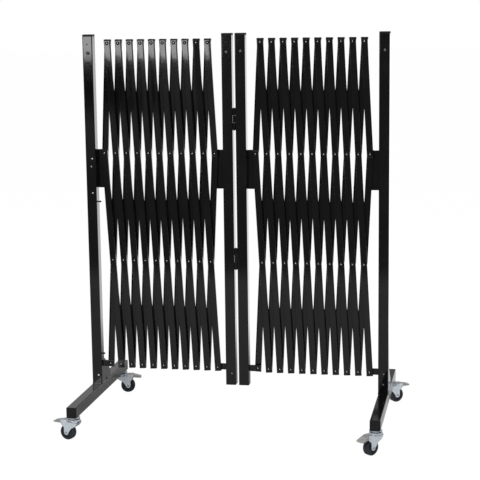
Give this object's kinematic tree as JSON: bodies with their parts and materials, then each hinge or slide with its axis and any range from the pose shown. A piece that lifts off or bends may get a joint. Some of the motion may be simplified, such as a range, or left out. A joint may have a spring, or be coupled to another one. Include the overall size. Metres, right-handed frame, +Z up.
{
  "type": "expandable safety barrier",
  "caption": "Black steel scissor-lattice barrier: two folding panels hinged at the middle, square end posts on T-feet with braked swivel castors, shown nearly closed.",
  "frame": {"origin": "on the floor, in the middle of the standing outline", "axes": "+X along the barrier to the viewer's right, +Y to the rear, +Z up; the front faces -Y"},
  "size_m": [1.3132, 0.8236, 1.5243],
  "materials": {
    "post_black": "gloss",
    "slat_black": "gloss",
    "zinc": "satin",
    "pedal_zinc": "satin",
    "wheel_black": "matte"
  },
  "bodies": {
    "left_end_post": {"left_end_post": "post_black"},
    "left_centre_post": {"left_centre_post": "post_black"},
    "right_centre_post": {"right_centre_post": "post_black"},
    "right_end_post": {"right_end_post": "post_black"},
    "left_slat_front_01": {"left_slat_front_01": "slat_black"},
    "left_slat_front_02": {"left_slat_front_02": "slat_black"},
    "left_slat_front_03": {"left_slat_front_03": "slat_black"},
    "left_slat_front_04": {"left_slat_front_04": "slat_black"},
    "left_slat_front_05": {"left_slat_front_05": "slat_black"},
    "left_slat_front_06": {"left_slat_front_06": "slat_black"},
    "left_slat_front_07": {"left_slat_front_07": "slat_black"},
    "left_slat_front_08": {"left_slat_front_08": "slat_black"},
    "left_slat_front_09": {"left_slat_front_09": "slat_black"},
    "left_slat_front_10": {"left_slat_front_10": "slat_black"},
    "left_slat_front_11": {"left_slat_front_11": "slat_black"},
    "left_slat_back_01": {"left_slat_back_01": "slat_black"},
    "left_slat_back_02": {"left_slat_back_02": "slat_black"},
    "left_slat_back_03": {"left_slat_back_03": "slat_black"},
    "left_slat_back_04": {"left_slat_back_04": "slat_black"},
    "left_slat_back_05": {"left_slat_back_05": "slat_black"},
    "left_slat_back_06": {"left_slat_back_06": "slat_black"},
    "left_slat_back_07": {"left_slat_back_07": "slat_black"},
    "left_slat_back_08": {"left_slat_back_08": "slat_black"},
    "left_slat_back_09": {"left_slat_back_09": "slat_black"},
    "left_slat_back_10": {"left_slat_back_10": "slat_black"},
    "left_slat_back_11": {"left_slat_back_11": "slat_black"},
    "right_slat_front_01": {"right_slat_front_01": "slat_black"},
    "right_slat_front_02": {"right_slat_front_02": "slat_black"},
    "right_slat_front_03": {"right_slat_front_03": "slat_black"},
    "right_slat_front_04": {"right_slat_front_04": "slat_black"},
    "right_slat_front_05": {"right_slat_front_05": "slat_black"},
    "right_slat_front_06": {"right_slat_front_06": "slat_black"},
    "right_slat_front_07": {"right_slat_front_07": "slat_black"},
    "right_slat_front_08": {"right_slat_front_08": "slat_black"},
    "right_slat_front_09": {"right_slat_front_09": "slat_black"},
    "right_slat_front_10": {"right_slat_front_10": "slat_black"},
    "right_slat_front_11": {"right_slat_front_11": "slat_black"},
    "right_slat_back_01": {"right_slat_back_01": "slat_black"},
    "right_slat_back_02": {"right_slat_back_02": "slat_black"},
    "right_slat_back_03": {"right_slat_back_03": "slat_black"},
    "right_slat_back_04": {"right_slat_back_04": "slat_black"},
    "right_slat_back_05": {"right_slat_back_05": "slat_black"},
    "right_slat_back_06": {"right_slat_back_06": "slat_black"},
    "right_slat_back_07": {"right_slat_back_07": "slat_black"},
    "right_slat_back_08": {"right_slat_back_08": "slat_black"},
    "right_slat_back_09": {"right_slat_back_09": "slat_black"},
    "right_slat_back_10": {"right_slat_back_10": "slat_black"},
    "right_slat_back_11": {"right_slat_back_11": "slat_black"},
    "castor_lf": {"castor_fork_lf": "zinc"},
    "wheel_lf": {"castor_wheel_lf": "wheel_black"},
    "pedal_lf": {"castor_pedal_lf": "pedal_zinc"},
    "castor_lr": {"castor_fork_lr": "zinc"},
    "wheel_lr": {"castor_wheel_lr": "wheel_black"},
    "pedal_lr": {"castor_pedal_lr": "pedal_zinc"},
    "castor_rf": {"castor_fork_rf": "zinc"},
    "wheel_rf": {"castor_wheel_rf": "wheel_black"},
    "pedal_rf": {"castor_pedal_rf": "pedal_zinc"},
    "castor_rr": {"castor_fork_rr": "zinc"},
    "wheel_rr": {"castor_wheel_rr": "wheel_black"},
    "pedal_rr": {"castor_pedal_rr": "pedal_zinc"}
  },
  "joints": [
    {"name": "right_panel_open", "type": "hinge", "parent": "right_centre_post", "child": "right_slat_back_02", "pos_m": [0.08321, 0.00645, 0.216], "axis": [0, 1, 0], "range_deg": [-1, 25]},
    {"name": "right_row3_pivot_01", "type": "hinge", "parent": "right_slat_back_02", "child": "right_slat_front_01", "pos_m": [0.10521, 0.00645, 0.64043], "axis": [0, 1, 0], "range_deg": [-50.2, 2.2]},
    {"name": "right_row4_pivot_01", "type": "hinge", "parent": "right_slat_front_01", "child": "right_slat_back_03", "pos_m": [0.12721, 0.00645, 0.216], "axis": [0, 1, 0], "range_deg": [-2.2, 50.2]},
    {"name": "right_row3_pivot_02", "type": "hinge", "parent": "right_slat_back_03", "child": "right_slat_front_02", "pos_m": [0.14921, 0.00645, 0.64043], "axis": [0, 1, 0], "range_deg": [-50.2, 2.2]},
    {"name": "right_row4_pivot_02", "type": "hinge", "parent": "right_slat_front_02", "child": "right_slat_back_04", "pos_m": [0.17121, 0.00645, 0.216], "axis": [0, 1, 0], "range_deg": [-2.2, 50.2]},
    {"name": "right_row3_pivot_03", "type": "hinge", "parent": "right_slat_back_04", "child": "right_slat_front_03", "pos_m": [0.19321, 0.00645, 0.64043], "axis": [0, 1, 0], "range_deg": [-50.2, 2.2]},
    {"name": "right_row4_pivot_03", "type": "hinge", "parent": "right_slat_front_03", "child": "right_slat_back_05", "pos_m": [0.21521, 0.00645, 0.216], "axis": [0, 1, 0], "range_deg": [-2.2, 50.2]},
    {"name": "right_row3_pivot_04", "type": "hinge", "parent": "right_slat_back_05", "child": "right_slat_front_04", "pos_m": [0.23721, 0.00645, 0.64043], "axis": [0, 1, 0], "range_deg": [-50.2, 2.2]},
    {"name": "right_row4_pivot_04", "type": "hinge", "parent": "right_slat_front_04", "child": "right_slat_back_06", "pos_m": [0.25921, 0.00645, 0.216], "axis": [0, 1, 0], "range_deg": [-2.2, 50.2]},
    {"name": "right_row3_pivot_05", "type": "hinge", "parent": "right_slat_back_06", "child": "right_slat_front_05", "pos_m": [0.28121, 0.00645, 0.64043], "axis": [0, 1, 0], "range_deg": [-50.2, 2.2]},
    {"name": "right_row4_pivot_05", "type": "hinge", "parent": "right_slat_front_05", "child": "right_slat_back_07", "pos_m": [0.30321, 0.00645, 0.216], "axis": [0, 1, 0], "range_deg": [-2.2, 50.2]},
    {"name": "right_row3_pivot_06", "type": "hinge", "parent": "right_slat_back_07", "child": "right_slat_front_06", "pos_m": [0.32521, 0.00645, 0.64043], "axis": [0, 1, 0], "range_deg": [-50.2, 2.2]},
    {"name": "right_row4_pivot_06", "type": "hinge", "parent": "right_slat_front_06", "child": "right_slat_back_08", "pos_m": [0.34721, 0.00645, 0.216], "axis": [0, 1, 0], "range_deg": [-2.2, 50.2]},
    {"name": "right_row3_pivot_07", "type": "hinge", "parent": "right_slat_back_08", "child": "right_slat_front_07", "pos_m": [0.36921, 0.00645, 0.64043], "axis": [0, 1, 0], "range_deg": [-50.2, 2.2]},
    {"name": "right_row4_pivot_07", "type": "hinge", "parent": "right_slat_front_07", "child": "right_slat_back_09", "pos_m": [0.39121, 0.00645, 0.216], "axis": [0, 1, 0], "range_deg": [-2.2, 50.2]},
    {"name": "right_row3_pivot_08", "type": "hinge", "parent": "right_slat_back_09", "child": "right_slat_front_08", "pos_m": [0.41321, 0.00645, 0.64043], "axis": [0, 1, 0], "range_deg": [-50.2, 2.2]},
    {"name": "right_row4_pivot_08", "type": "hinge", "parent": "right_slat_front_08", "child": "right_slat_back_10", "pos_m": [0.43521, 0.00645, 0.216], "axis": [0, 1, 0], "range_deg": [-2.2, 50.2]},
    {"name": "right_row3_pivot_09", "type": "hinge", "parent": "right_slat_back_10", "child": "right_slat_front_09", "pos_m": [0.45721, 0.00645, 0.64043], "axis": [0, 1, 0], "range_deg": [-50.2, 2.2]},
    {"name": "right_row4_pivot_09", "type": "hinge", "parent": "right_slat_front_09", "child": "right_slat_back_11", "pos_m": [0.47921, 0.00645, 0.216], "axis": [0, 1, 0], "range_deg": [-2.2, 50.2]},
    {"name": "right_row3_pivot_10", "type": "hinge", "parent": "right_slat_back_11", "child": "right_slat_front_10", "pos_m": [0.50121, 0.00645, 0.64043], "axis": [0, 1, 0], "range_deg": [-50.2, 2.2]},
    {"name": "right_end_pivot", "type": "hinge", "parent": "right_slat_front_10", "child": "right_end_post", "pos_m": [0.52321, 0.00645, 0.216], "axis": [0, 1, 0], "range_deg": [-1.2, 25.2]},
    {"name": "right_row2_pivot_00", "type": "hinge", "parent": "right_slat_front_01", "child": "right_slat_back_01", "pos_m": [0.08321, 0.00645, 1.06486], "axis": [0, 1, 0], "range_deg": [-2.2, 50.2]},
    {"name": "right_row2_pivot_10", "type": "hinge", "parent": "right_slat_back_11", "child": "right_slat_front_11", "pos_m": [0.52321, 0.00645, 1.06486], "axis": [0, 1, 0], "range_deg": [-50.2, 2.2]},
    {"name": "left_panel_open", "type": "hinge", "parent": "left_centre_post", "child": "left_slat_front_10", "pos_m": [-0.07679, 0.00645, 0.216], "axis": [0, -1, 0], "range_deg": [-1, 25]},
    {"name": "left_row3_pivot_10", "type": "hinge", "parent": "left_slat_front_10", "child": "left_slat_back_11", "pos_m": [-0.09879, 0.00645, 0.64043], "axis": [0, -1, 0], "range_deg": [-50.2, 2.2]},
    {"name": "left_row4_pivot_09", "type": "hinge", "parent": "left_slat_back_11", "child": "left_slat_front_09", "pos_m": [-0.12079, 0.00645, 0.216], "axis": [0, -1, 0], "range_deg": [-2.2, 50.2]},
    {"name": "left_row3_pivot_09", "type": "hinge", "parent": "left_slat_front_09", "child": "left_slat_back_10", "pos_m": [-0.14279, 0.00645, 0.64043], "axis": [0, -1, 0], "range_deg": [-50.2, 2.2]},
    {"name": "left_row4_pivot_08", "type": "hinge", "parent": "left_slat_back_10", "child": "left_slat_front_08", "pos_m": [-0.16479, 0.00645, 0.216], "axis": [0, -1, 0], "range_deg": [-2.2, 50.2]},
    {"name": "left_row3_pivot_08", "type": "hinge", "parent": "left_slat_front_08", "child": "left_slat_back_09", "pos_m": [-0.18679, 0.00645, 0.64043], "axis": [0, -1, 0], "range_deg": [-50.2, 2.2]},
    {"name": "left_row4_pivot_07", "type": "hinge", "parent": "left_slat_back_09", "child": "left_slat_front_07", "pos_m": [-0.20879, 0.00645, 0.216], "axis": [0, -1, 0], "range_deg": [-2.2, 50.2]},
    {"name": "left_row3_pivot_07", "type": "hinge", "parent": "left_slat_front_07", "child": "left_slat_back_08", "pos_m": [-0.23079, 0.00645, 0.64043], "axis": [0, -1, 0], "range_deg": [-50.2, 2.2]},
    {"name": "left_row4_pivot_06", "type": "hinge", "parent": "left_slat_back_08", "child": "left_slat_front_06", "pos_m": [-0.25279, 0.00645, 0.216], "axis": [0, -1, 0], "range_deg": [-2.2, 50.2]},
    {"name": "left_row3_pivot_06", "type": "hinge", "parent": "left_slat_front_06", "child": "left_slat_back_07", "pos_m": [-0.27479, 0.00645, 0.64043], "axis": [0, -1, 0], "range_deg": [-50.2, 2.2]},
    {"name": "left_row4_pivot_05", "type": "hinge", "parent": "left_slat_back_07", "child": "left_slat_front_05", "pos_m": [-0.29679, 0.00645, 0.216], "axis": [0, -1, 0], "range_deg": [-2.2, 50.2]},
    {"name": "left_row3_pivot_05", "type": "hinge", "parent": "left_slat_front_05", "child": "left_slat_back_06", "pos_m": [-0.31879, 0.00645, 0.64043], "axis": [0, -1, 0], "range_deg": [-50.2, 2.2]},
    {"name": "left_row4_pivot_04", "type": "hinge", "parent": "left_slat_back_06", "child": "left_slat_front_04", "pos_m": [-0.34079, 0.00645, 0.216], "axis": [0, -1, 0], "range_deg": [-2.2, 50.2]},
    {"name": "left_row3_pivot_04", "type": "hinge", "parent": "left_slat_front_04", "child": "left_slat_back_05", "pos_m": [-0.36279, 0.00645, 0.64043], "axis": [0, -1, 0], "range_deg": [-50.2, 2.2]},
    {"name": "left_row4_pivot_03", "type": "hinge", "parent": "left_slat_back_05", "child": "left_slat_front_03", "pos_m": [-0.38479, 0.00645, 0.216], "axis": [0, -1, 0], "range_deg": [-2.2, 50.2]},
    {"name": "left_row3_pivot_03", "type": "hinge", "parent": "left_slat_front_03", "child": "left_slat_back_04", "pos_m": [-0.40679, 0.00645, 0.64043], "axis": [0, -1, 0], "range_deg": [-50.2, 2.2]},
    {"name": "left_row4_pivot_02", "type": "hinge", "parent": "left_slat_back_04", "child": "left_slat_front_02", "pos_m": [-0.42879, 0.00645, 0.216], "axis": [0, -1, 0], "range_deg": [-2.2, 50.2]},
    {"name": "left_row3_pivot_02", "type": "hinge", "parent": "left_slat_front_02", "child": "left_slat_back_03", "pos_m": [-0.45079, 0.00645, 0.64043], "axis": [0, -1, 0], "range_deg": [-50.2, 2.2]},
    {"name": "left_row4_pivot_01", "type": "hinge", "parent": "left_slat_back_03", "child": "left_slat_front_01", "pos_m": [-0.47279, 0.00645, 0.216], "axis": [0, -1, 0], "range_deg": [-2.2, 50.2]},
    {"name": "left_row3_pivot_01", "type": "hinge", "parent": "left_slat_front_01", "child": "left_slat_back_02", "pos_m": [-0.49479, 0.00645, 0.64043], "axis": [0, -1, 0], "range_deg": [-50.2, 2.2]},
    {"name": "left_end_pivot", "type": "hinge", "parent": "left_slat_back_02", "child": "left_end_post", "pos_m": [-0.51679, 0.00645, 0.216], "axis": [0, -1, 0], "range_deg": [-1.2, 25.2]},
    {"name": "left_row2_pivot_00", "type": "hinge", "parent": "left_slat_front_01", "child": "left_slat_back_01", "pos_m": [-0.51679, 0.00645, 1.06486], "axis": [0, -1, 0], "range_deg": [-50.2, 2.2]},
    {"name": "left_row2_pivot_10", "type": "hinge", "parent": "left_slat_back_11", "child": "left_slat_front_11", "pos_m": [-0.07679, 0.00645, 1.06486], "axis": [0, -1, 0], "range_deg": [-2.2, 50.2]},
    {"name": "centre_fold", "type": "hinge", "parent": "left_centre_post", "child": "right_centre_post", "pos_m": [0.00321, -0.00755, 0.64043], "axis": [0, 0, 1], "range_deg": [-85, 15]},
    {"name": "swivel_lf", "type": "hinge", "parent": "left_end_post", "child": "castor_lf", "pos_m": [-0.57079, -0.33555, 0.08], "axis": [0, 0, 1], "continuous": true},
    {"name": "wheel_lf", "type": "hinge", "parent": "castor_lf", "child": "wheel_lf", "pos_m": [-0.59578, -0.32838, 0.03], "axis": [-0.2756, -0.9613, 0], "continuous": true},
    {"name": "brake_lf", "type": "hinge", "parent": "castor_lf", "child": "pedal_lf", "pos_m": [-0.61404, -0.32314, 0.066], "axis": [-0.2756, -0.9613, 0], "range_deg": [0, 12]},
    {"name": "swivel_lr", "type": "hinge", "parent": "left_end_post", "child": "castor_lr", "pos_m": [-0.57079, 0.34845, 0.08], "axis": [0, 0, 1], "continuous": true},
    {"name": "wheel_lr", "type": "hinge", "parent": "castor_lr", "child": "wheel_lr", "pos_m": [-0.54567, 0.35518, 0.03], "axis": [-0.2588, 0.9659, 0], "continuous": true},
    {"name": "brake_lr", "type": "hinge", "parent": "castor_lr", "child": "pedal_lr", "pos_m": [-0.52732, 0.3601, 0.066], "axis": [-0.2588, 0.9659, 0], "range_deg": [0, 12]},
    {"name": "swivel_rf", "type": "hinge", "parent": "right_end_post", "child": "castor_rf", "pos_m": [0.57721, -0.33555, 0.08], "axis": [0, 0, 1], "continuous": true},
    {"name": "wheel_rf", "type": "hinge", "parent": "castor_rf", "child": "wheel_rf", "pos_m": [0.5605, -0.35546, 0.03], "axis": [0.766, -0.6428, 0], "continuous": true},
    {"name": "brake_rf", "type": "hinge", "parent": "castor_rf", "child": "pedal_rf", "pos_m": [0.54829, -0.37002, 0.066], "axis": [0.766, -0.6428, 0], "range_deg": [0, 12]},
    {"name": "swivel_rr", "type": "hinge", "parent": "right_end_post", "child": "castor_rr", "pos_m": [0.57721, 0.34845, 0.08], "axis": [0, 0, 1], "continuous": true},
    {"name": "wheel_rr", "type": "hinge", "parent": "castor_rr", "child": "wheel_rr", "pos_m": [0.59851, 0.36337, 0.03], "axis": [-0.5736, 0.8192, 0], "continuous": true},
    {"name": "brake_rr", "type": "hinge", "parent": "castor_rr", "child": "pedal_rr", "pos_m": [0.61407, 0.37426, 0.066], "axis": [-0.5736, 0.8192, 0], "range_deg": [0, 12]}
  ],
  "couplings": [
    {"joint": "right_row3_pivot_01", "follows": "right_panel_open", "ratio": -2},
    {"joint": "right_row4_pivot_01", "follows": "right_panel_open", "ratio": 2},
    {"joint": "right_row3_pivot_02", "follows": "right_panel_open", "ratio": -2},
    {"joint": "right_row4_pivot_02", "follows": "right_panel_open", "ratio": 2},
    {"joint": "right_row3_pivot_03", "follows": "right_panel_open", "ratio": -2},
    {"joint": "right_row4_pivot_03", "follows": "right_panel_open", "ratio": 2},
    {"joint": "right_row3_pivot_04", "follows": "right_panel_open", "ratio": -2},
    {"joint": "right_row4_pivot_04", "follows": "right_panel_open", "ratio": 2},
    {"joint": "right_row3_pivot_05", "follows": "right_panel_open", "ratio": -2},
    {"joint": "right_row4_pivot_05", "follows": "right_panel_open", "ratio": 2},
    {"joint": "right_row3_pivot_06", "follows": "right_panel_open", "ratio": -2},
    {"joint": "right_row4_pivot_06", "follows": "right_panel_open", "ratio": 2},
    {"joint": "right_row3_pivot_07", "follows": "right_panel_open", "ratio": -2},
    {"joint": "right_row4_pivot_07", "follows": "right_panel_open", "ratio": 2},
    {"joint": "right_row3_pivot_08", "follows": "right_panel_open", "ratio": -2},
    {"joint": "right_row4_pivot_08", "follows": "right_panel_open", "ratio": 2},
    {"joint": "right_row3_pivot_09", "follows": "right_panel_open", "ratio": -2},
    {"joint": "right_row4_pivot_09", "follows": "right_panel_open", "ratio": 2},
    {"joint": "right_row3_pivot_10", "follows": "right_panel_open", "ratio": -2},
    {"joint": "right_end_pivot", "follows": "right_panel_open", "ratio": 1},
    {"joint": "right_row2_pivot_00", "follows": "right_panel_open", "ratio": 2},
    {"joint": "right_row2_pivot_10", "follows": "right_panel_open", "ratio": -2},
    {"joint": "left_row3_pivot_10", "follows": "left_panel_open", "ratio": -2},
    {"joint": "left_row4_pivot_09", "follows": "left_panel_open", "ratio": 2},
    {"joint": "left_row3_pivot_09", "follows": "left_panel_open", "ratio": -2},
    {"joint": "left_row4_pivot_08", "follows": "left_panel_open", "ratio": 2},
    {"joint": "left_row3_pivot_08", "follows": "left_panel_open", "ratio": -2},
    {"joint": "left_row4_pivot_07", "follows": "left_panel_open", "ratio": 2},
    {"joint": "left_row3_pivot_07", "follows": "left_panel_open", "ratio": -2},
    {"joint": "left_row4_pivot_06", "follows": "left_panel_open", "ratio": 2},
    {"joint": "left_row3_pivot_06", "follows": "left_panel_open", "ratio": -2},
    {"joint": "left_row4_pivot_05", "follows": "left_panel_open", "ratio": 2},
    {"joint": "left_row3_pivot_05", "follows": "left_panel_open", "ratio": -2},
    {"joint": "left_row4_pivot_04", "follows": "left_panel_open", "ratio": 2},
    {"joint": "left_row3_pivot_04", "follows": "left_panel_open", "ratio": -2},
    {"joint": "left_row4_pivot_03", "follows": "left_panel_open", "ratio": 2},
    {"joint": "left_row3_pivot_03", "follows": "left_panel_open", "ratio": -2},
    {"joint": "left_row4_pivot_02", "follows": "left_panel_open", "ratio": 2},
    {"joint": "left_row3_pivot_02", "follows": "left_panel_open", "ratio": -2},
    {"joint": "left_row4_pivot_01", "follows": "left_panel_open", "ratio": 2},
    {"joint": "left_row3_pivot_01", "follows": "left_panel_open", "ratio": -2},
    {"joint": "left_end_pivot", "follows": "left_panel_open", "ratio": 1},
    {"joint": "left_row2_pivot_00", "follows": "left_panel_open", "ratio": -2},
    {"joint": "left_row2_pivot_10", "follows": "left_panel_open", "ratio": 2}
  ]
}
